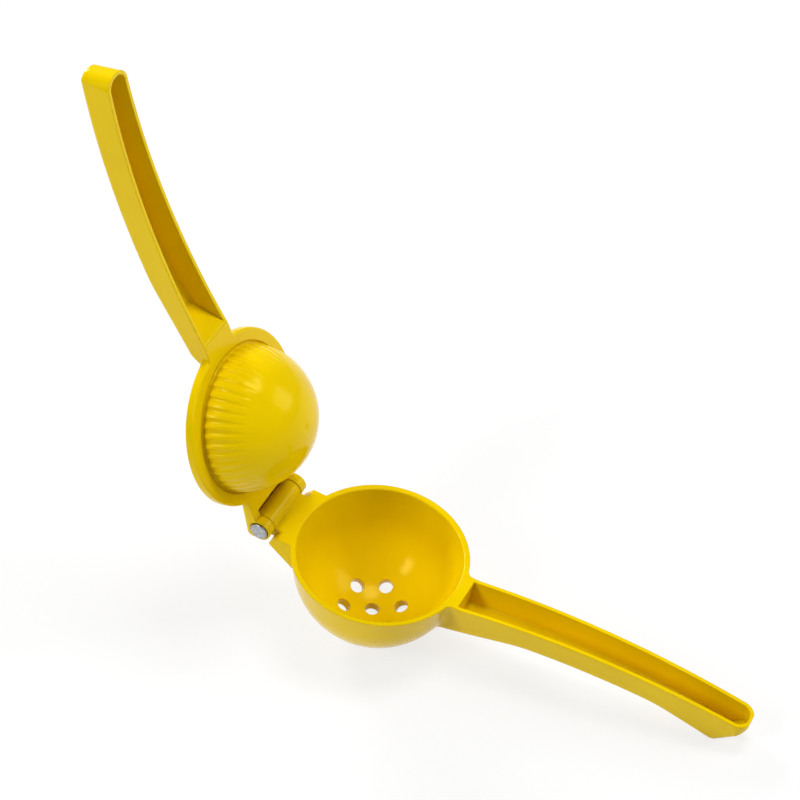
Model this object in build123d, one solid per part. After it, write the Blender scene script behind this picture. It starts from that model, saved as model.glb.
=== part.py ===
"""Hinged lemon squeezer: two die-cast arms on one riveted pin.

The lower arm carries the perforated bowl, the upper arm the ribbed dome that presses half a
lemon into it. Both handles are open channels that close over each other along one grip line.

The arms are drawn closed, in the frame of the bowl's rim: origin at the centre of the rim,
+X towards the handles, +Y along the hinge pin, +Z out of the bowl. At the end the upper arm is
opened about the pin, and the whole tool is laid on a table, on the bowl's round bottom and on
the heel of its handle, with +Z up and the origin on the table, under the middle of the tool.
"""
from build123d import *
from build123d.topology import SkipClean
from math import acos, asin, atan2, cos, degrees, hypot, pi, radians, sin, tan
import os

# ---------------------------------------------------------------- sizes, in millimetres
# Bowl
rim_radius = 37.0            # outside radius of the bowl at its rim
rim_wall = 2.3               # thickness of the rim
bowl_inset = 1.5             # by which its round bottom is smaller in radius, outside
bowl_depth = 40.3            # from the rim to the lowest point outside
bowl_wall = 3.6              # wall of the round bottom
rim_edge = 0.8               # rounding of the rim's inner edge
drain_hole_diameter = 6.0
drain_hole_lean = 22.0       # degrees from the centre hole to each of the six around it

# Dome and flange
dome_clearance = 1.5         # round the dome, inside the bowl
dome_depth = 29.6            # from the flange's underside to the dome's lowest point
dome_wall = 3.0
mouth_inset = 1.1            # by which the edge of the dome's hollow is smaller in radius
flange_inset = 0.5           # by which the flange is smaller in radius than the rim
flange_thickness = 4.3
flange_edge = 1.0            # rounding of the flange's outer edges
flute_count = 44             # grooves between the ribs
flute_radius = 2.2           # round section of a groove
flute_depth = 0.85           # its depth at the foot of the dome
flute_reach = 38.0           # degrees up the dome at which it runs out
foot_groove = 1.0            # radius of the round groove that rings the dome's foot
dome_sectors = 24

# Handles, along the grip line on which they meet
grip_start = 41.1            # from the rim's centre to where the grip line begins to rise
grip_rise = 11.6             # degrees by which it rises there
grip_bend_radius = 15.0      # bend between the flat neck and the rise
grip_arch_radius = 360.0     # the line then arches over
tip_reach = 166.0            # from the rim's centre to the tip of the handles
neck_half_width = 9.3        # half widths at the grip line
tip_half_width = 6.5
tip_radius = 6.0             # rounding of the tip, seen from above
neck_draft = 8.5             # degrees by which the sides lean in, away from the grip line
tip_draft = 5.5
handle_wall = 1.6
handle_floor = 2.0           # thickness of the channels' floors
handle_edge = 1.8            # rounding of the handles' outer edges
floor_edge = 1.2             # rounding at the foot of the channels' walls
neck_fillet = 3.0            # blend of the handles' sides into the bowl and the flange

# Lower handle
lower_depth = 13.3           # from the grip line to the underside
neck_depth = 22.0            # depth of its root, inside the bowl
neck_run = 68.0              # from the rim's centre to where the root's slope ends
pocket_start = 39.6          # from the rim's centre to the end wall of the channel
heel_turn = 128.0            # where the underside turns down towards the heel
heel_reach = 153.3           # from the rim's centre to the heel
heel_depth = 18.0            # from the grip line to the heel's corner
heel_radius = 4.0            # rounding of that corner
heel_pocket = 146.0          # where the channel's floor steps down into the heel
heel_step = 1.0              # length of that step
heel_wall = 3.0              # thickness of the floor over the heel's corner
tip_face = 3.5               # height of the end face under the grip line

# Upper handle
upper_height = 13.6          # from the grip line to its back
shoulder_start = 30.0        # from the rim's centre to where its back leaves the flange
shoulder_reach = 35.8        # to the end of that short ramp
shoulder_height = 10.4       # height of the ramp's end over the rim
shoulder_bend = 8.0          # rounding of that corner
back_start = 70.0            # where the back joins its arch
back_bend = 60.0             # radius of that joint
upper_pocket_start = 43.0    # from the rim's centre to the end of the channel
upper_pocket_slope = 50.0    # degrees by which the channel's end wall rises

# Hinge
hinge_reach = 48.0           # from the rim's centre back to the pin
hinge_rise = 0.0             # height of the pin over the rim
tab_half_width = 15.6        # of the tab with its two ears, and of the bracket under it
tab_start = 31.0             # from the rim's centre to where the tab begins to rise
tab_slope = 7.5              # degrees by which it rises towards the hinge
tab_corner = 3.0             # rounding over its outer end
tab_side_corner = 2.0        # rounding of its outer end, seen from above
tab_edge = 1.0               # rounding of its top edges
tab_pocket = 3.0             # from the barrel to the end of the hollow under the tab
tab_skirt = 4.0              # from the pin up to the edge of the plate behind the barrel
ear_thickness = 4.2
ear_radius = 4.9             # round of the ears about the pin
barrel_radius = 4.8          # barrel of the lower arm, between the ears
bracket_reach = 39.4         # from the rim's centre to the bracket's shoulders
lip_reach = 43.6             # and to its lower lip under the ears
lip_depth = 4.8              # depth of the lip under the rim
lip_edge = 1.0
foot_depth = 13.6            # depth at which the bracket's slope meets the bowl
shaft_diameter = 5.5
head_diameter = 7.8
head_height = 1.3
head_edge = 0.5
seat_depth = 0.5             # of the round seats cut into the ears for its two ends
seat_clearance = 0.3
peen_diameter = 7.4
peen_height = 1.1
peen_edge = 0.9

# Fits
parting_gap = 0.3            # between the closed arms
side_clearance = 0.35        # between an ear and the barrel
swing_clearance = 0.35       # round the barrel, under the tab
pin_clearance = 0.05         # radial, between the pin and the barrel's bore

# Position
opening = 112.0              # degrees by which the upper arm stands open
heel_flat = 0.3              # depth of the flat on which the heel rests


bowl_radius = rim_radius - bowl_inset
dome_radius = bowl_radius - bowl_wall - dome_clearance
mouth_radius = dome_radius - mouth_inset
flange_radius = rim_radius - flange_inset


# ---------------------------------------------------------------- helpers
def side_view(*edges):
    """A closed outline in the plane of the section through the arms: X across, Z up."""
    return Plane.XZ * make_face(list(edges))


def side_polygon(*points):
    return Plane.XZ * make_face(Polyline(*points, close=True))


def across(outline, half_width):
    """A side view made solid, half_width to each side of the middle."""
    return extrude(outline, amount=half_width, both=True)


def cup(edge_radius, edge_height, round_radius, bottom_height):
    """A solid of revolution: a round bottom, and a straight drafted side up to its edge."""
    centre_height = bottom_height + round_radius
    edge_rise = edge_height - centre_height
    angle = atan2(edge_rise, edge_radius) - acos(round_radius / hypot(edge_radius, edge_rise))
    half = (angle - pi / 2) / 2
    touch = (round_radius * cos(angle), centre_height + round_radius * sin(angle))
    middle = (round_radius * cos(half), centre_height + round_radius * sin(half))
    outline = side_view(
        Line((0, edge_height), (edge_radius, edge_height)),
        Line((edge_radius, edge_height), touch),
        ThreePointArc(touch, middle, (0, bottom_height)),
        Line((0, bottom_height), (0, edge_height)),
    )
    return revolve(outline, Axis.Z)


# ---------------------------------------------------------------- the grip line
rise = radians(grip_rise)
bend_run = grip_bend_radius * tan(rise / 2)
arch_start = (grip_start + bend_run * cos(rise), bend_run * sin(rise))
arch_centre = (arch_start[0] + grip_arch_radius * sin(rise), arch_start[1] - grip_arch_radius * cos(rise))
root_reach = rim_radius - neck_half_width    # where the handles' bars begin, inside the bowl's rim


def on_grip(reach, offset=0.0):
    """The point of the side view that stands offset over the grip line's arch, at a reach along X."""
    radius = grip_arch_radius + offset
    lean = asin((reach - arch_centre[0]) / radius)
    return (reach, arch_centre[1] + radius * cos(lean))


def grip_arc(reach, to_reach, offset=0.0):
    """The stretch of the arch between two reaches, offset over the grip line."""
    middle = (reach + to_reach) / 2
    return ThreePointArc(on_grip(reach, offset), on_grip(middle, offset), on_grip(to_reach, offset))


tip = on_grip(tip_reach)
tip_lean = asin((tip_reach - arch_centre[0]) / grip_arch_radius)
tip_plane = Plane(
    origin=(tip[0], 0, tip[1]),
    x_dir=(cos(tip_lean), 0, -sin(tip_lean)),
    z_dir=(sin(tip_lean), 0, cos(tip_lean)),
)


def under_tip(depth):
    """The point of the side view on the handles' end face, at a depth under the grip line."""
    return (tip[0] - depth * sin(tip_lean), tip[1] - depth * cos(tip_lean))


# ---------------------------------------------------------------- the handles' bars
def handle_bar(inset, near, far):
    """A bar swept along the grip line, its faces standing near and far over the line, or under
    it where they are negative. Its sides and its end are inset from the handle's own, and the
    sides lean in towards the far face."""
    end_reach = tip_reach - inset
    end_lean = asin((end_reach - arch_centre[0]) / grip_arch_radius)
    neck = Line((root_reach, 0), (grip_start - bend_run, 0))
    bend = JernArc(neck @ 1, neck % 1, grip_bend_radius, grip_rise)
    arch = JernArc(bend @ 1, bend % 1, grip_arch_radius, -degrees(rise + end_lean))
    path = Plane.XZ * (neck + bend + arch)
    way = 1 if far > 0 else -1

    def section(at, half_width, draft):
        lean = way * tan(radians(draft))
        wide = half_width - inset - near * lean
        slim = half_width - inset - far * lean
        corners = ((-wide, near), (wide, near), (slim, far), (-slim, far))
        place = Plane(origin=path @ at, x_dir=(0, 1, 0), z_dir=path % at)
        return place * make_face(Polyline(*corners, close=True))

    ends = [section(0, neck_half_width, neck_draft), section(1, tip_half_width, tip_draft)]
    return sweep(ends, path=path, multisection=True)


def beyond_tip(inset):
    """What lies outside the rounded end of a handle, or of its channel at an inset."""
    radius = tip_radius - inset
    spread = (neck_half_width - tip_half_width) / (tip_reach - root_reach)
    half_width = tip_half_width - inset + radius * spread
    nose = Pos(-inset - rim_radius, 0) * RectangleRounded(2 * rim_radius, 2 * half_width, radius)
    field = Pos(-inset, 0) * Rectangle(2 * radius, 4 * half_width)
    return tip_plane * extrude(field - nose, amount=2 * heel_depth, both=True)


def rounded(outline, point, radius):
    """The outline with its corner at a point rounded."""
    corner = outline.vertices().sort_by_distance((point[0], point[1], 0))[0]
    return fillet(corner, radius)


def outer_edges(bar, way, from_reach, to_reach=2 * tip_reach):
    """The edges round the side of a bar that faces up, for way 1, or down, for way -1, between
    two reaches."""
    facing = bar.faces().filter_by(lambda face: way * face.normal_at(face.center()).Z > 0.3)
    edges = [edge for face in facing for edge in face.edges()]
    border = [edge for edge in edges if sum(edge.is_same(other) for other in edges) == 1]
    return [edge for edge in border if from_reach < (edge @ 0.5).X < to_reach]


# ---------------------------------------------------------------- bowl arm
spare = 1.3                                  # ratio by which a cutter outreaches what it has to pass
far_below = spare * max(neck_depth, heel_depth)
over_grip = 2.0                              # by which a cutter stands out of the solid it cuts
heel = (heel_reach, on_grip(heel_reach)[1] - heel_depth)
top = arch_centre[1] + grip_arch_radius + over_grip


def lower_handle():
    """The handle under the grip line, solid: a sloping root, the arched bar and its heel."""
    end = under_tip(tip_face)
    neck_end = on_grip(neck_run, -lower_depth)
    turn = on_grip(heel_turn, -lower_depth)
    outline = make_face([
        Line((0, top), (end[0], top)),
        Line((end[0], top), end),
        Line(end, heel),
        Line(heel, turn),
        grip_arc(heel_turn, neck_run, -lower_depth),
        Line(neck_end, (root_reach, -neck_depth)),
        Line((root_reach, -neck_depth), (0, -neck_depth)),
        Line((0, -neck_depth), (0, top)),
    ])
    outline = rounded(outline, neck_end, back_bend)
    outline = rounded(outline, turn, back_bend)
    outline = rounded(outline, heel, heel_radius)
    bar = handle_bar(0, 0, -far_below) & across(Plane.XZ * outline, rim_radius)
    return fillet(outer_edges(bar - beyond_tip(0), -1, 0), handle_edge)


def lower_channel():
    """The open channel along that handle, with its step down into the heel."""
    depth = lower_depth - handle_floor
    heel_floor = heel[1] + heel_wall
    step = on_grip(heel_pocket, -depth)
    outline = make_face([
        Line((pocket_start, top), (tip_reach, top)),
        Line((tip_reach, top), (tip_reach, under_tip(tip_face)[1])),
        Line((tip_reach, under_tip(tip_face)[1]), (heel_reach, heel_floor)),
        Line((heel_reach, heel_floor), (heel_pocket + heel_step, heel_floor)),
        Line((heel_pocket + heel_step, heel_floor), step),
        grip_arc(heel_pocket, neck_run, -depth),
        Line(on_grip(neck_run, -depth), (pocket_start, -depth)),
        Line((pocket_start, -depth), (pocket_start, top)),
    ])
    bar = handle_bar(handle_wall, over_grip, -far_below) & across(Plane.XZ * outline, rim_radius)
    floor_edges = outer_edges(bar, -1, pocket_start + floor_edge, heel_pocket - floor_edge)
    return fillet(floor_edges, floor_edge) - beyond_tip(handle_wall)


def bracket():
    """What reaches from the bowl to the hinge: a seat for the ears, and the barrel between them."""
    lip = (-lip_reach, -lip_depth)
    outline = make_face(Polyline(
        (0, 0),
        (-bracket_reach, 0),
        lip,
        (-bowl_radius + bowl_wall, -foot_depth),
        (0, -foot_depth),
        close=True,
    ))
    wide = across(Plane.XZ * rounded(outline, lip, lip_edge), tab_half_width)
    barrel_half_width = tab_half_width - ear_thickness - side_clearance
    tongue = side_polygon(
        (-hinge_reach, hinge_rise - barrel_radius),
        (-hinge_reach, hinge_rise),
        (-bracket_reach, 0),
        (-bracket_reach, hinge_rise - barrel_radius),
    )
    barrel = hinge_line * Cylinder(barrel_radius, 2 * barrel_half_width)
    return wide + across(tongue, barrel_half_width) + barrel


hinge_line = Plane(origin=(-hinge_reach, 0, hinge_rise), x_dir=(1, 0, 0), z_dir=(0, 1, 0))


def neck_edges(arm, low, high):
    """The edges on which a handle's two sides meet the round body, between two heights."""
    body_edge = hypot(rim_radius, neck_half_width)
    seam = arm.edges().filter_by(lambda edge: low < (edge @ 0.5).Z < high)
    seam = seam.filter_by(lambda edge: root_reach < (edge @ 0).X < body_edge)
    seam = seam.filter_by(lambda edge: root_reach < (edge @ 1).X < body_edge)
    return seam.filter_by(lambda edge: neck_half_width / 2 < abs((edge @ 0.5).Y) < 2 * neck_half_width)


def make_bowl_arm():
    arm = cup(rim_radius, 0, bowl_radius, -bowl_depth)
    arm += lower_handle()
    arm = fillet(neck_edges(arm, -neck_depth, -rim_edge), neck_fillet)
    arm += bracket()
    arm -= cup(rim_radius - rim_wall, 0, bowl_radius - bowl_wall, bowl_wall - bowl_depth)
    rim = arm.edges().filter_by(GeomType.CIRCLE).filter_by_position(Axis.Z, -rim_edge / 2, rim_edge / 2)
    inner_rim = rim.filter_by(lambda edge: rim_radius / 2 < edge.radius < rim_radius - rim_wall / 2)
    arm = fillet(inner_rim, rim_edge)
    arm -= lower_channel()
    bowl_centre = Pos(0, 0, bowl_radius - bowl_depth)
    drill = Pos(0, 0, -bowl_radius) * Cylinder(drain_hole_diameter / 2, 3 * bowl_wall)
    arm -= bowl_centre * drill
    for turn in range(30, 390, 60):
        arm -= bowl_centre * Rot(0, 0, turn) * Rot(0, drain_hole_lean, 0) * drill
    arm -= hinge_line * Cylinder(shaft_diameter / 2 + pin_clearance, 2 * tab_half_width)
    return arm


# ---------------------------------------------------------------- press arm
flange_top = parting_gap + flange_thickness


def upper_handle():
    """The handle over the grip line, solid: a ramp from the flange, and the arched bar."""
    shoulder = (shoulder_reach, shoulder_height)
    back = on_grip(back_start, upper_height)
    beyond = on_grip(tip_reach + tip_radius, upper_height)
    outline = make_face([
        Line((0, 0), (0, flange_top)),
        Line((0, flange_top), (shoulder_start, flange_top)),
        Line((shoulder_start, flange_top), shoulder),
        Line(shoulder, back),
        grip_arc(back_start, beyond[0], upper_height),
        Line(beyond, (beyond[0], 0)),
        Line((beyond[0], 0), (0, 0)),
    ])
    outline = rounded(outline, shoulder, shoulder_bend)
    outline = rounded(outline, back, back_bend)
    bar = handle_bar(0, parting_gap, upper_height + over_grip) & across(Plane.XZ * outline, rim_radius)
    return fillet(outer_edges(bar - beyond_tip(0), 1, shoulder_start), handle_edge)


def upper_channel():
    """The open channel along that handle, with its leaning end wall."""
    depth = upper_height - handle_floor
    back = on_grip(back_start, depth)
    roof_slope = (back[1] + handle_floor - shoulder_height) / (back_start - shoulder_reach)
    wall_slope = tan(radians(upper_pocket_slope))
    roof_start = shoulder_height - handle_floor + roof_slope * (upper_pocket_start - shoulder_reach)
    corner_run = roof_start / (wall_slope - roof_slope)
    corner = (upper_pocket_start + corner_run, corner_run * wall_slope)
    beyond = on_grip(tip_reach, depth)
    outline = make_face([
        Line((upper_pocket_start, 0), corner),
        Line(corner, back),
        grip_arc(back_start, beyond[0], depth),
        Line(beyond, (beyond[0], 0)),
        Line((beyond[0], 0), (upper_pocket_start, 0)),
    ])
    outline = rounded(outline, back, back_bend)
    bar = handle_bar(handle_wall, -over_grip, upper_height) & across(Plane.XZ * outline, rim_radius)
    return fillet(outer_edges(bar - beyond_tip(handle_wall), 1, corner[0] + floor_edge), floor_edge)


def ribbed_dome():
    """The dome, solid, with the flutes that leave its ribs. It is turned in sectors, so that no
    one face of it carries many flutes."""
    centre = parting_gap - dome_depth + dome_radius
    sector = Sphere(dome_radius, arc_size2=0, arc_size3=360 / dome_sectors, align=None)
    dome = Part() + [place * sector for place in PolarLocations(0, dome_sectors)]
    drop = flute_depth / sin(radians(flute_reach))
    path_radius = dome_radius + flute_radius - flute_depth
    ring = Torus(path_radius, flute_radius, major_angle=spare * flute_reach, align=None)
    meridian = Plane(origin=(0, 0, -drop), x_dir=(1, 0, 0), z_dir=(0, 1, 0))
    flute = meridian * ring & Sphere(dome_radius + flute_depth / 4)
    half_pitch = 180 / flute_count
    dome -= [place * flute for place in PolarLocations(0, flute_count, start_angle=half_pitch)]
    return Pos(0, 0, centre) * dome


def hinge_tab():
    """The tab behind the flange, with an ear at each side for the pin and a slot for the barrel."""
    end = -hinge_reach - ear_radius
    corner = (end, flange_top + (-end - tab_start) * tan(radians(tab_slope)))
    outline = make_face(Polyline(
        (0, parting_gap),
        (0, flange_top),
        (-tab_start, flange_top),
        corner,
        (end, hinge_rise),
        (end + 2 * ear_radius, hinge_rise),
        (end + 2 * ear_radius, parting_gap),
        close=True,
    ))
    tab = across(Plane.XZ * rounded(outline, corner, tab_corner), tab_half_width)
    tab = fillet(tab.edges().filter_by(Axis.Z).sort_by(Axis.X)[:2], tab_side_corner)
    tab = fillet(outer_edges(tab, 1, 2 * end), tab_edge)
    tab += hinge_line * Cylinder(ear_radius, 2 * tab_half_width)
    slot_half_width = tab_half_width - ear_thickness
    swing_radius = barrel_radius + swing_clearance
    skirt = hinge_rise + tab_skirt
    hollow = side_polygon(
        (-hinge_reach + barrel_radius + tab_pocket, hinge_rise - ear_radius),
        (-hinge_reach + barrel_radius + tab_pocket, hinge_rise + swing_radius),
        (-hinge_reach, hinge_rise + swing_radius),
        (-hinge_reach, skirt),
        (end - ear_radius, skirt),
        (end - ear_radius, hinge_rise - ear_radius),
    )
    tab -= across(hollow, slot_half_width)
    tab -= hinge_line * Cylinder(swing_radius, 2 * slot_half_width)
    return tab


def make_flange():
    """The round plate that closes the bowl, blended in plan into the neck of the handle."""
    neck_width = 2 * (neck_half_width - flange_top * tan(radians(neck_draft)))
    neck = Pos(flange_radius, 0) * Rectangle(4 * neck_fillet, neck_width)
    outline = Circle(flange_radius) + neck
    inner_corners = outline.vertices().filter_by_position(Axis.X, 0, flange_radius)
    outline = fillet(inner_corners, neck_fillet)
    plate = Pos(0, 0, parting_gap) * extrude(outline, amount=flange_thickness)
    outer = plate.edges().filter_by(Plane.XY).filter_by_position(Axis.X, -flange_radius, flange_radius)
    return fillet(outer, flange_edge)


def make_press_arm():
    arm = make_flange()
    arm += upper_handle()
    arm += hinge_tab()
    arm -= upper_channel()
    arm -= hinge_line * Cylinder(shaft_diameter / 2, 3 * tab_half_width)
    for end, diameter in ((-1, head_diameter), (1, peen_diameter)):
        seat = Cylinder(diameter / 2 + seat_clearance, 2 * seat_depth)
        arm -= hinge_line * Pos(0, 0, end * tab_half_width) * seat
    with SkipClean():
        arm += ribbed_dome()
        arm -= Pos(0, 0, parting_gap) * Torus(dome_radius, foot_groove)
        hollow_depth = parting_gap - dome_depth + dome_wall
        arm -= cup(mouth_radius, flange_top, dome_radius - dome_wall, hollow_depth)
    return arm


# ---------------------------------------------------------------- hinge pin
def make_hinge_pin():
    """A shaft with a flat head on the -Y side, riveted over to a button on the other."""
    seat = tab_half_width - seat_depth
    pin = Cylinder(shaft_diameter / 2, 2 * seat)
    head = Pos(0, 0, -seat - head_height / 2) * Cylinder(head_diameter / 2, head_height)
    pin += fillet(head.edges().sort_by(Axis.Z)[0], head_edge)
    peen = Pos(0, 0, seat + peen_height / 2) * Cylinder(peen_diameter / 2, peen_height)
    pin += fillet(peen.edges().sort_by(Axis.Z)[-1], peen_edge)
    return hinge_line * pin


# ---------------------------------------------------------------- at rest on the table
def rest_place():
    """The place in which the bowl's round bottom and the flat on the heel stand on z = 0."""
    heel_corner = Vector(heel[0], 0, heel[1])
    face_end = under_tip(tip_face)
    turn = on_grip(heel_turn, -lower_depth)
    to_end = (Vector(face_end[0], 0, face_end[1]) - heel_corner).normalized()
    to_turn = (Vector(turn[0], 0, turn[1]) - heel_corner).normalized()
    half_angle = radians(to_end.get_angle(to_turn)) / 2
    heel_centre = heel_corner + (to_end + to_turn).normalized() * (heel_radius / sin(half_angle))
    bowl_centre = Vector(0, 0, bowl_radius - bowl_depth)
    apart = heel_centre - bowl_centre
    tilt = asin((bowl_radius - heel_radius + heel_flat) / apart.length) + atan2(apart.Z, apart.X)
    contact = bowl_centre + Vector(sin(tilt), 0, -cos(tilt)) * bowl_radius
    return Rot(0, degrees(tilt), 0) * Pos(-contact)


rest = rest_place()
hinge_axis = Axis((-hinge_reach, 0, hinge_rise), (0, 1, 0))
under_table = Pos(heel_reach, 0, -rim_radius) * Box(rim_radius, rim_radius, 2 * rim_radius)
tool = {
    "bowl_arm": rest * make_bowl_arm() - under_table,
    "press_arm": rest * make_press_arm().rotate(hinge_axis, -opening),
    "hinge_pin": rest * make_hinge_pin().rotate(hinge_axis, -opening),
}
footprint = Compound(list(tool.values())).bounding_box()
to_middle = Pos(-footprint.center().X, 0, 0)

os.makedirs("parts", exist_ok=True)
for name, piece in tool.items():
    export_step(to_middle * piece, f"parts/{name}.step")
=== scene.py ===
# %% [markdown]
# # A hinged lemon squeezer, dressed for its picture
#
# The tool is three pieces: a perforated bowl on its arm, a ribbed dome on the other arm, and the
# steel rivet that joins them. Their shapes come from the CAD model. This lesson gives them the
# finishes of the real thing, sets a pale studio round them, and points a camera at them.
# Everything is in metres, in the frame of the CAD model, with the table at z = 0.

# %% The model, loaded as a fixed frame
import math

import bpy
import numpy as np
from mathutils import Matrix, Vector


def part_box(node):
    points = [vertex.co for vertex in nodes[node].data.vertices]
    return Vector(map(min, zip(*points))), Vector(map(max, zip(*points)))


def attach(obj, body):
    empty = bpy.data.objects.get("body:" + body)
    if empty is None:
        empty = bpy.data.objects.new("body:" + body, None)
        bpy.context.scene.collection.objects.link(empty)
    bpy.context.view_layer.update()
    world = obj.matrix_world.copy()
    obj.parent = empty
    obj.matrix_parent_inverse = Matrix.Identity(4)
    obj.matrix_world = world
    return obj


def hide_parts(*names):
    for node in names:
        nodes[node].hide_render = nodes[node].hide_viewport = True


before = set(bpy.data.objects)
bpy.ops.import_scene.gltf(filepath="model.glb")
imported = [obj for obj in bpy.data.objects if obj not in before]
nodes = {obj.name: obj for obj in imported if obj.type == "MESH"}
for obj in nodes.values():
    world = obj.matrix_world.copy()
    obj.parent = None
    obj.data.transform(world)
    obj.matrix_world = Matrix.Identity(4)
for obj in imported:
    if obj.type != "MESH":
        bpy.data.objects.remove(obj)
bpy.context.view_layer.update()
mm = 0.001


# %% [markdown]
# ## The camera
#
# A small object looks right through a long lens from well over arm's length, because the near
# handle then doesn't look huge. 135 mm on a 36 mm wide sensor does that. The place and the three
# angles were fitted so that both handles, the hinge and the bowl's rim fall where they should.

# %% Camera
camera_place = Vector((425.8, -725.6, 920.2)) * mm
camera_azimuth = 31.12       # degrees from looking along +Y
camera_elevation = 42.90     # degrees over the horizon
camera_roll = -5.54          # degrees about the line of sight
camera_lens = 135            # millimetres, as Blender takes it
camera_sensor = 36           # millimetres wide


def camera_matrix(azimuth, elevation, roll):
    """Rotation of a camera that first looks straight down: rolled about its line of sight, then
    pitched up by 90 degrees less the elevation, then turned about Z."""
    turn = Matrix.Rotation(math.radians(azimuth), 3, "Z")
    pitch = Matrix.Rotation(math.radians(90 - elevation), 3, "X")
    return turn @ pitch @ Matrix.Rotation(math.radians(roll), 3, "Z")


camera_data = bpy.data.cameras.new("camera")
camera_data.lens = camera_lens
camera_data.sensor_width = camera_sensor
camera = bpy.data.objects.new("camera", camera_data)
camera.location = camera_place
camera.rotation_euler = camera_matrix(camera_azimuth, camera_elevation, camera_roll).to_euler()
bpy.context.scene.collection.objects.link(camera)
bpy.context.scene.camera = camera
print("camera", round(camera_place.length / mm), "mm from the frame's origin")

# %% [markdown]
# ## Colours and nodes
#
# Colours are written as web hex codes, which are sRGB. Blender's shaders work in linear light,
# so one function turns the one into the other. A second small function adds a node to a
# material, sets its sockets and links its inputs, which keeps each recipe short to read.

# %% Colours, nodes and materials


def linear(code):
    """Hex code to linear RGBA: the sRGB curve undone, channel by channel."""
    shades = np.array([int(code[i:i + 2], 16) for i in (1, 3, 5)]) / 255
    light = np.where(shades <= 0.04045, shades / 12.92, ((shades + 0.055) / 1.055) ** 2.4)
    return (*light.tolist(), 1.0)


def add_node(tree, kind, sockets=None, **settings):
    """A node of a kind. Its settings are attributes; its sockets take a value or a link from
    another node's output."""
    node = tree.nodes.new(kind)
    for name, value in settings.items():
        setattr(node, name, value)
    for name, value in (sockets or {}).items():
        if isinstance(value, bpy.types.NodeSocket):
            tree.links.new(value, node.inputs[name])
        else:
            node.inputs[name].default_value = value
    return node


def new_material(name):
    """An empty node material and its tree."""
    material = bpy.data.materials.new(name)
    material.use_nodes = True
    material.node_tree.nodes.clear()
    return material, material.node_tree


print("middle grey in linear light:", round(linear("#808080")[0], 3))

# %% [markdown]
# ## Baked enamel
#
# Both arms are die-cast aluminium with a sprayed and baked yellow enamel. Up close such a coat
# isn't flat: the spray leaves a fine orange peel, about 1.5 mm from crest to crest and about a
# hundredth of a millimetre high, over the slower waves of the casting under it. Its tone and
# its gloss drift a little too, where the coat ran thicker or thinner.
#
# Each of the four is one noise texture, as wide as the real thing. The noise is solid 3-D noise
# on Object coordinates, so it runs unbroken round every edge of the casting. A flat pattern
# would need seams there.

# %% The patterns of the enamel
orange_peel = 1.5 * mm       # from crest to crest
casting_wave = 14 * mm
tone_patch = 30 * mm
shine_patch = 9 * mm

enamel, tree = new_material("baked_yellow_enamel")
place = add_node(tree, "ShaderNodeTexCoord").outputs["Object"]
pattern = {}
for name, size, detail, grain in (
    ("tone", tone_patch, 3.0, 0.5),
    ("shine", shine_patch, 4.0, 0.6),
    ("wave", casting_wave, 2.0, 0.5),
    ("peel", orange_peel, 1.5, 0.5),
):
    noise = add_node(
        tree, "ShaderNodeTexNoise",
        {"Vector": place, "Scale": 1 / size, "Detail": detail, "Roughness": grain},
    )
    pattern[name] = noise.outputs["Fac"]
    print("enamel", name, "noise:", round(size / mm, 1), "mm from crest to crest")

# %% [markdown]
# ## The surface of the enamel
#
# A baked resin has an IOR of 1.5. This coat is satin, and its gloss is weak and tinted towards
# the pigment, so only the lamps show in it, as soft pale patches. The tone noise blends two
# close yellows, and the shine noise moves the roughness between its two ends.
#
# The waves and the peel are two bumps in a row: each tilts the normals as if the surface rose
# by its height where its noise is light. Enamel also pools over an edge and rounds it. A Bevel
# node turns the normals over the last 0.6 mm before an edge, so that edges catch a thin line of
# light. None of this moves the mesh.

# %% The coat, on both castings
deep_yellow = "#e5c200"
light_yellow = "#eac803"
tone_ends = (0.35, 0.65)     # noise values where the tone is all deep or all light
shine_ends = (0.3, 0.7)      # noise values where the roughness stops changing
coat_roughness = (0.13, 0.20)    # from the glossiest patches to the dullest
resin_ior = 1.5
gloss_level = 0.18
gloss_tint = "#ffea70"
enamel_edge = 0.6 * mm       # roundness of the coat over an edge of the casting
edge_samples = 6
wave_height = 0.12 * mm
wave_strength = 0.5
peel_height = 0.06 * mm
peel_strength = 0.35

tone_ramp = add_node(tree, "ShaderNodeValToRGB", {"Fac": pattern["tone"]})
for stop, end, code in zip(tone_ramp.color_ramp.elements, tone_ends, (deep_yellow, light_yellow)):
    stop.position = end
    stop.color = linear(code)
roughness = add_node(
    tree, "ShaderNodeMapRange",
    {"Value": pattern["shine"], "From Min": shine_ends[0], "From Max": shine_ends[1],
     "To Min": coat_roughness[0], "To Max": coat_roughness[1]},
)
soft_edge = add_node(tree, "ShaderNodeBevel", {"Radius": enamel_edge}, samples=edge_samples)
wave_bump = add_node(
    tree, "ShaderNodeBump",
    {"Height": pattern["wave"], "Strength": wave_strength, "Distance": wave_height,
     "Normal": soft_edge.outputs["Normal"]},
)
peel_bump = add_node(
    tree, "ShaderNodeBump",
    {"Height": pattern["peel"], "Strength": peel_strength, "Distance": peel_height,
     "Normal": wave_bump.outputs["Normal"]},
)
coat = add_node(
    tree, "ShaderNodeBsdfPrincipled",
    {"Base Color": tone_ramp.outputs["Color"], "Roughness": roughness.outputs["Result"],
     "IOR": resin_ior, "Specular IOR Level": gloss_level, "Specular Tint": linear(gloss_tint),
     "Normal": peel_bump.outputs["Normal"]},
)
add_node(tree, "ShaderNodeOutputMaterial", {"Surface": coat.outputs["BSDF"]})

for name in ("bowl_arm", "press_arm"):
    casting = nodes[name]
    casting.data.materials.clear()
    casting.data.materials.append(enamel)
    print(name, "wears", enamel.name, "on", len(casting.data.polygons), "faces")

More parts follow.
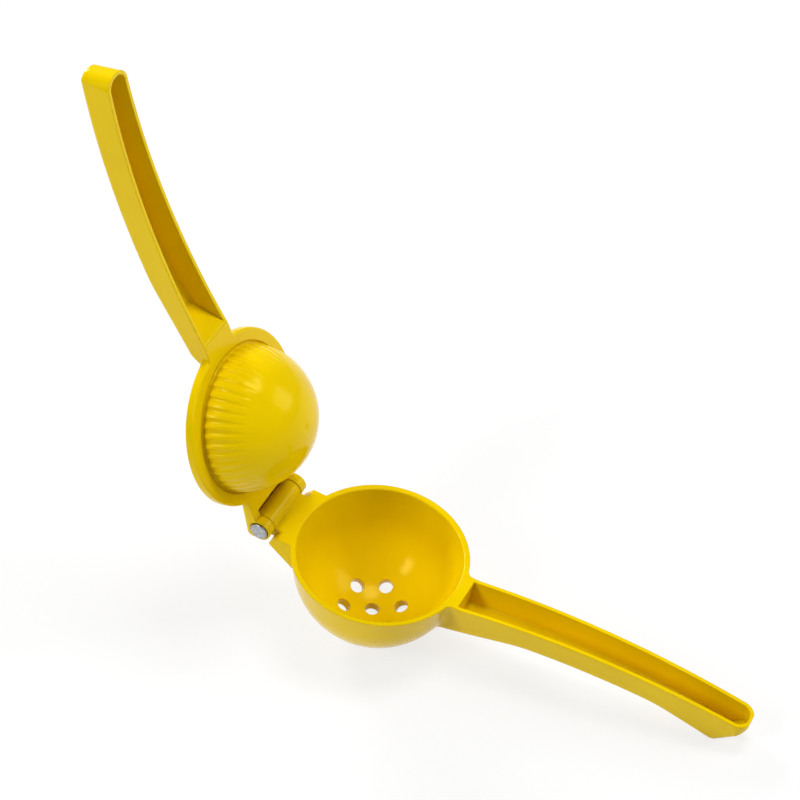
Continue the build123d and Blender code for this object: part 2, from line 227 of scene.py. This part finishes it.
# %% [markdown]
# ## The outline of the rivet
#
# The hinge pin is a zinc-plated steel rivet. Its head is a flat disc with a rolled edge, and the
# other end, the peen, is upset into a low button. A round piece is easiest to give as a profile:
# its radius at each distance along the pin. This one is the CAD pin's, with its edges rolled and
# a shallow dish in both ends, as a setting tool leaves them. It stays inside the CAD pin, so
# that nothing touches when the hinge turns.

# %% The profile of the rivet
low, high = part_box("hinge_pin")
pin_axis = (low + high) / 2
head_end = low.y
peen_end = high.y
head_radius = (high.z - low.z) / 2
head_height = 1.3 * mm
head_roll = 0.5 * mm
head_dish = 0.12 * mm
shaft_radius = 2.75 * mm
peen_radius = 3.7 * mm
peen_height = 1.1 * mm
peen_roll = 1.0 * mm
peen_dish = 0.05 * mm


def rolled(radius, face, way, roll, steps=9):
    """Radius and place of a rolled edge: a quarter circle from the face round to the side."""
    angle = np.linspace(0, np.pi / 2, steps)
    out = radius - roll + roll * np.sin(angle)
    return np.stack([out, face + way * roll * (1 - np.cos(angle))], 1)


def dish(radius, face, way, depth, steps=6):
    """The flat of a face, dished: depth times the square of 1 - distance out / radius."""
    out = np.linspace(0, radius, steps, endpoint=False)
    return np.stack([out, face + way * depth * (1 - out / radius) ** 2], 1)


profile = np.concatenate([
    dish(head_radius - head_roll, head_end, 1, head_dish),
    rolled(head_radius, head_end, 1, head_roll),
    [[head_radius, head_end + head_height], [shaft_radius, head_end + head_height]],
    [[shaft_radius, peen_end - peen_height], [peen_radius, peen_end - peen_height]],
    rolled(peen_radius, peen_end, -1, peen_roll)[::-1],
    dish(peen_radius - peen_roll, peen_end, -1, peen_dish)[::-1],
])
print("rivet", round((peen_end - head_end) / mm, 1), "mm long,", len(profile), "profile points")

# %% [markdown]
# ## The rivet, turned
#
# Carrying the profile round the pin's axis gives a surface of two parameters: the place along
# the profile and the angle. All its points are worked out at once, as whole arrays. Its two ends
# meet the axis in single points, so the mesh is closed. The faces are listed so that they point
# outwards.

# %% The surface of the rivet
turns = 96                   # steps round the axis


def revolved(name, profile, centre, turns):
    """A closed surface: each profile point (radius, y) goes round the pin's axis as
    x = radius cos(angle), z = radius sin(angle). The two ends on the axis are single points."""
    angle = np.linspace(0, 2 * np.pi, turns, endpoint=False)
    ring = profile[1:-1]
    x = centre.x + ring[:, :1] * np.cos(angle)
    z = centre.z + ring[:, :1] * np.sin(angle)
    y = np.repeat(ring[:, 1:], turns, axis=1)
    points = np.stack([x, y, z], 2).reshape(-1, 3)
    ends = [[centre.x, profile[0, 1], centre.z], [centre.x, profile[-1, 1], centre.z]]
    points = np.concatenate([points, ends])
    row = np.arange(turns)
    after = (row + 1) % turns
    start = np.arange(len(ring) - 1)[:, None] * turns
    quads = np.stack([start + row, start + turns + row, start + turns + after, start + after], 2)
    first, last = np.full(turns, len(points) - 2), np.full(turns, len(points) - 1)
    base = (len(ring) - 1) * turns
    fans = [np.stack([first, row, after], 1), np.stack([last, base + after, base + row], 1)]
    faces = quads.reshape(-1, 4).tolist() + np.concatenate(fans).tolist()
    mesh = bpy.data.meshes.new(name)
    mesh.from_pydata(points.tolist(), [], faces)
    mesh.shade_smooth()
    thing = bpy.data.objects.new(name, mesh)
    bpy.context.scene.collection.objects.link(thing)
    return thing


rivet = revolved("rivet", profile, pin_axis, turns)
print("rivet", len(rivet.data.polygons), "faces, head", round(2 * head_radius / mm, 1), "mm wide")

# %% [markdown]
# ## Plated steel
#
# Zinc plating over turned steel: a pale bluish grey metal with the rings of the lathe still in
# it, and dull patches where the setting tool pressed. The rings are a function of the distance
# from the pin's axis, so a Mapping node first moves the pattern's origin onto that axis. A wave
# texture of scale 1 has a crest every 2 pi / 20 metres, which gives the scale for a pitch.

# %% The patterns of the plating
ring_pitch = 0.35 * mm       # coarser than real turning marks, so that they show
ring_scale = 2 * math.pi / (20 * ring_pitch)
dull_patch = 0.9 * mm

plating, tree = new_material("zinc_plated_steel")
place = add_node(tree, "ShaderNodeTexCoord").outputs["Object"]
centred = add_node(
    tree, "ShaderNodeMapping",
    {"Vector": place, "Location": (-pin_axis.x, -pin_axis.y, -pin_axis.z)},
)
rings = add_node(
    tree, "ShaderNodeTexWave",
    {"Vector": centred.outputs["Vector"], "Scale": ring_scale, "Distortion": 0.4, "Detail": 2.0},
    wave_type="RINGS", rings_direction="Y",
)
patches = add_node(
    tree, "ShaderNodeTexNoise",
    {"Vector": place, "Scale": 1 / dull_patch, "Detail": 4.0, "Roughness": 0.6},
)
print("turning rings every", round(ring_pitch / mm, 2), "mm, scale", round(ring_scale))

# %% [markdown]
# ## The surface of the plating
#
# A metal keeps Blender's own IOR: its look comes from its colour, its roughness and its bumps.
# The same patches make the zinc darker and rougher together, as a pressed and handled plating
# is. The rings are a shallow bump, and the patches a second one over it. The rivet is pressed
# into the ears of the press arm, so it rides that arm, and it stands in for the CAD pin.

# %% The plating, on the rivet
dark_zinc = "#8f9094"
pale_zinc = "#c9cacd"
patch_ends = (0.3, 0.7)      # noise values of the darkest and the palest zinc
zinc_roughness = (0.42, 0.26)    # at the dark end and at the pale end
ring_height = 0.03 * mm
ring_strength = 0.25
pit_height = 0.05 * mm
pit_strength = 0.5

grey = add_node(tree, "ShaderNodeValToRGB", {"Fac": patches.outputs["Fac"]})
for stop, end, code in zip(grey.color_ramp.elements, patch_ends, (dark_zinc, pale_zinc)):
    stop.position = end
    stop.color = linear(code)
dull = add_node(
    tree, "ShaderNodeMapRange",
    {"Value": patches.outputs["Fac"], "From Min": patch_ends[0], "From Max": patch_ends[1],
     "To Min": zinc_roughness[0], "To Max": zinc_roughness[1]},
)
ring_bump = add_node(
    tree, "ShaderNodeBump",
    {"Height": rings.outputs["Fac"], "Strength": ring_strength, "Distance": ring_height},
)
pit_bump = add_node(
    tree, "ShaderNodeBump",
    {"Height": patches.outputs["Fac"], "Strength": pit_strength, "Distance": pit_height,
     "Normal": ring_bump.outputs["Normal"]},
)
metal = add_node(
    tree, "ShaderNodeBsdfPrincipled",
    {"Base Color": grey.outputs["Color"], "Metallic": 1.0, "Roughness": dull.outputs["Result"],
     "Normal": pit_bump.outputs["Normal"]},
)
add_node(tree, "ShaderNodeOutputMaterial", {"Surface": metal.outputs["BSDF"]})
rivet.data.materials.append(plating)
nodes["hinge_pin"].data.materials.clear()
nodes["hinge_pin"].data.materials.append(plating)
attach(rivet, "press_arm")
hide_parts("hinge_pin")
print(rivet.name, "wears", plating.name)

# %% [markdown]
# ## The white floor
#
# The tool stands on white paper that should read as white and still take a faint shadow. The
# paper is plain matt white for every ray that lights the object. Only a ray that comes straight
# from the camera, or from a reflection or through glass, sees it mixed with a plain white glow.
# The shadow shows in the part that isn't glow.

# %% The paper of the floor
paper_white = "#f0f0f0"
glow_white = "#ffffff"
glow_share = 0.76            # of what is seen when the floor is looked at

paper, tree = new_material("white_paper")
rays = add_node(tree, "ShaderNodeLightPath")
matt = add_node(tree, "ShaderNodeBsdfDiffuse", {"Color": linear(paper_white)})
glow = add_node(tree, "ShaderNodeEmission", {"Color": linear(glow_white), "Strength": 1.0})
direct = add_node(
    tree, "ShaderNodeMath",
    {0: rays.outputs["Is Camera Ray"], 1: rays.outputs["Is Glossy Ray"]}, operation="ADD",
)
looked_at = add_node(
    tree, "ShaderNodeMath",
    {0: direct.outputs["Value"], 1: rays.outputs["Is Transmission Ray"]},
    operation="ADD", use_clamp=True,
)
seen = add_node(
    tree, "ShaderNodeMath", {0: looked_at.outputs["Value"], 1: glow_share}, operation="MULTIPLY",
)
mix = add_node(
    tree, "ShaderNodeMixShader",
    {"Fac": seen.outputs["Value"], 1: matt.outputs["BSDF"], 2: glow.outputs["Emission"]},
)
add_node(tree, "ShaderNodeOutputMaterial", {"Surface": mix.outputs["Shader"]})
print(paper.name, "glows by", glow_share, "where it is looked at")

# %% [markdown]
# ## The floor and the room
#
# The floor is one large square. It lies a hair under the table's height, so that it never
# shares a plane with the flat under the heel. The room round it is an even, faint white light.

# %% Floor and room
floor_reach = 4.0            # metres from the middle to a side
floor_gap = 0.05 * mm
room_light = 0.15

corners = floor_reach * np.array([(-1, -1, 0), (1, -1, 0), (1, 1, 0), (-1, 1, 0)])
corners[:, 2] = -floor_gap
floor_mesh = bpy.data.meshes.new("floor")
floor_mesh.from_pydata(corners.tolist(), [], [(0, 1, 2, 3)])
floor_mesh.materials.append(paper)
floor = bpy.data.objects.new("floor", floor_mesh)
bpy.context.scene.collection.objects.link(floor)

world = bpy.data.worlds.new("white_room")
bpy.context.scene.world = world
world.use_nodes = True
tree = world.node_tree
tree.nodes.clear()
sky = add_node(
    tree, "ShaderNodeBackground", {"Color": linear(glow_white), "Strength": room_light},
)
add_node(tree, "ShaderNodeOutputWorld", {"Surface": sky.outputs["Background"]})
print("floor", 2 * floor_reach, "m wide, room light", room_light)

# %% [markdown]
# ## The lamps
#
# Four soft boxes stand round the tool, all 1.4 m away and all aimed at its middle. The overhead
# one gives the light on the bowl and the floor. The front one, tall and narrow, draws the bright
# streaks on the ribs and the left light in the bowl. The side one makes the round light on the
# dome and the right one in the bowl. The rear one lights the backs of the handles. The faint
# light of the room keeps the dark side from going black.
#
# The Standard view transform shows each colour as it is written, with no film curve over it.

# %% Soft boxes
lamp_target = Vector((-20, 0, 60)) * mm
lamp_distance = 1.4


def soft_box(name, azimuth, elevation, width, height, watts):
    """An oblong area lamp that looks at the middle of the tool. It stands in the direction
    (cos azimuth cos elevation, sin azimuth cos elevation, sin elevation), in degrees."""
    lamp = bpy.data.lights.new(name, "AREA")
    lamp.energy = watts
    lamp.shape = "RECTANGLE"
    lamp.size = width
    lamp.size_y = height
    box = bpy.data.objects.new(name, lamp)
    turn, lift = math.radians(azimuth), math.radians(elevation)
    flat = math.cos(lift)
    way = Vector((math.cos(turn) * flat, math.sin(turn) * flat, math.sin(lift)))
    box.location = lamp_target + lamp_distance * way
    box.rotation_euler = way.to_track_quat("Z", "Y").to_euler()
    bpy.context.scene.collection.objects.link(box)
    print("soft box", name, "at", [round(value, 2) for value in box.location])


soft_box("overhead", 45, 73, 0.5, 0.5, 9.2)
soft_box("front", -120, 40, 0.32, 0.55, 8.2)
soft_box("side", 30, 28, 0.68, 0.72, 7.4)
soft_box("rear", 150, 28, 0.4, 0.4, 10.4)
bpy.context.scene.view_settings.view_transform = "Standard"
